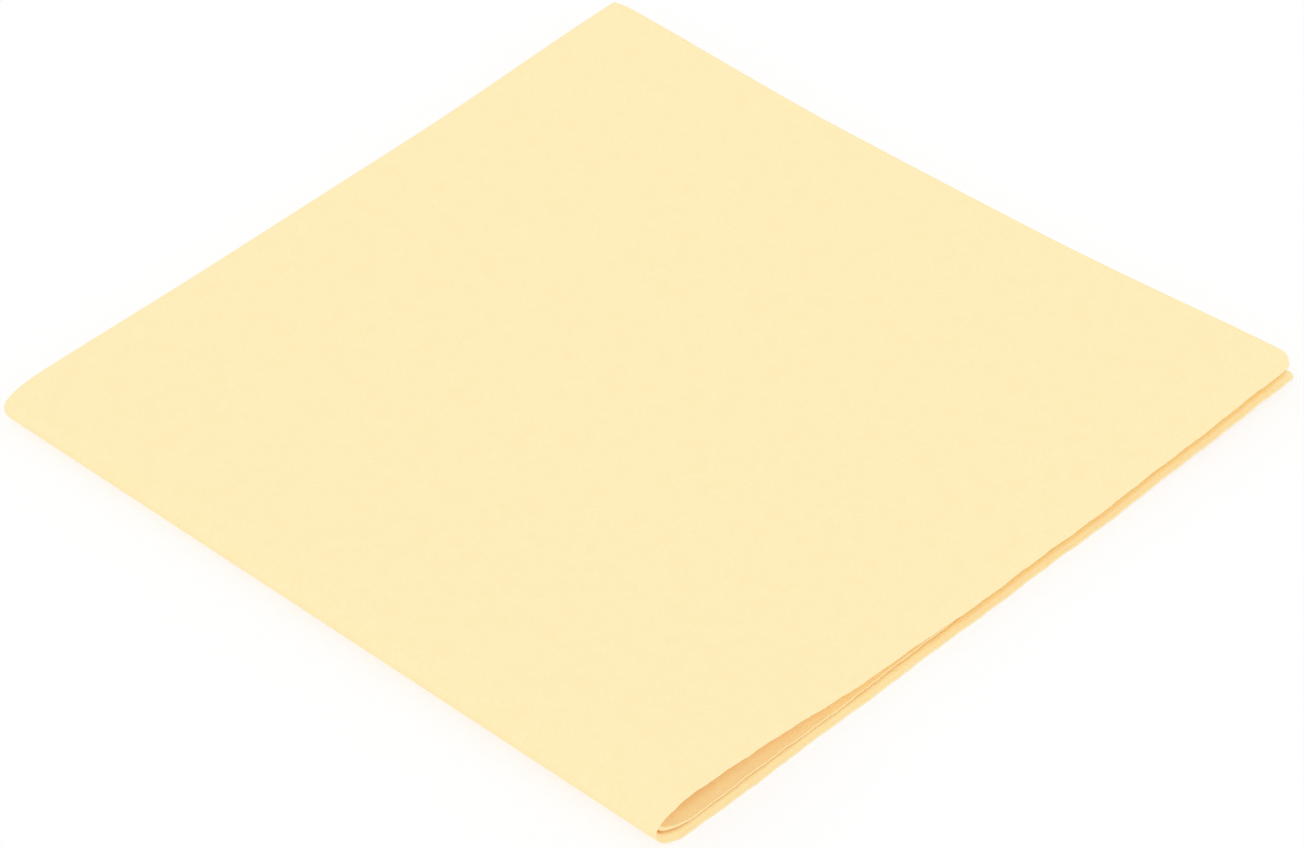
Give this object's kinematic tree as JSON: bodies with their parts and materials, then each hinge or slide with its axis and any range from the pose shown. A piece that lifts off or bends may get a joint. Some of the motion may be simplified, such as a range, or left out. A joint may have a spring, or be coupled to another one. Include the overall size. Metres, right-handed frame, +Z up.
{
  "type": "window cleaning cloth",
  "caption": "Soft yellow fleece cloth with cut edges, folded into quarters; the upper half swings open about the bent spine.",
  "frame": {"origin": "middle of the folded cloth's footprint, on the table", "axes": "+Z up; the spine of the last fold lies along Y on the -X side, the closed first fold on the +Y side, the cut edges on the -Y and +X sides"},
  "size_m": [0.2048, 0.2018, 0.0104],
  "materials": {
    "fleece": "matte, soft fibres"
  },
  "bodies": {
    "lower_half": {"bottom_panel": "fleece", "lower_inner_panel": "fleece", "lower_side_fold": "fleece"},
    "spine": {"outer_spine_fold": "fleece", "inner_spine_fold": "fleece", "corner_fold": "fleece"},
    "upper_half": {"top_panel": "fleece", "upper_inner_panel": "fleece", "upper_side_fold": "fleece"}
  },
  "joints": [
    {"name": "lower_crease", "type": "hinge", "parent": "lower_half", "child": "spine", "pos_m": [-0.09874, -0.00388, 0.00195], "axis": [-0.0092, -1, 0.0018], "range_deg": [0, 80]},
    {"name": "upper_crease", "type": "hinge", "parent": "spine", "child": "upper_half", "pos_m": [-0.09924, -0.00388, 0.00765], "axis": [-0.0116, -0.9999, 0.0111], "range_deg": [0, 100]}
  ],
  "couplings": [
    {"joint": "lower_crease", "follows": "upper_crease", "ratio": 0.8}
  ]
}
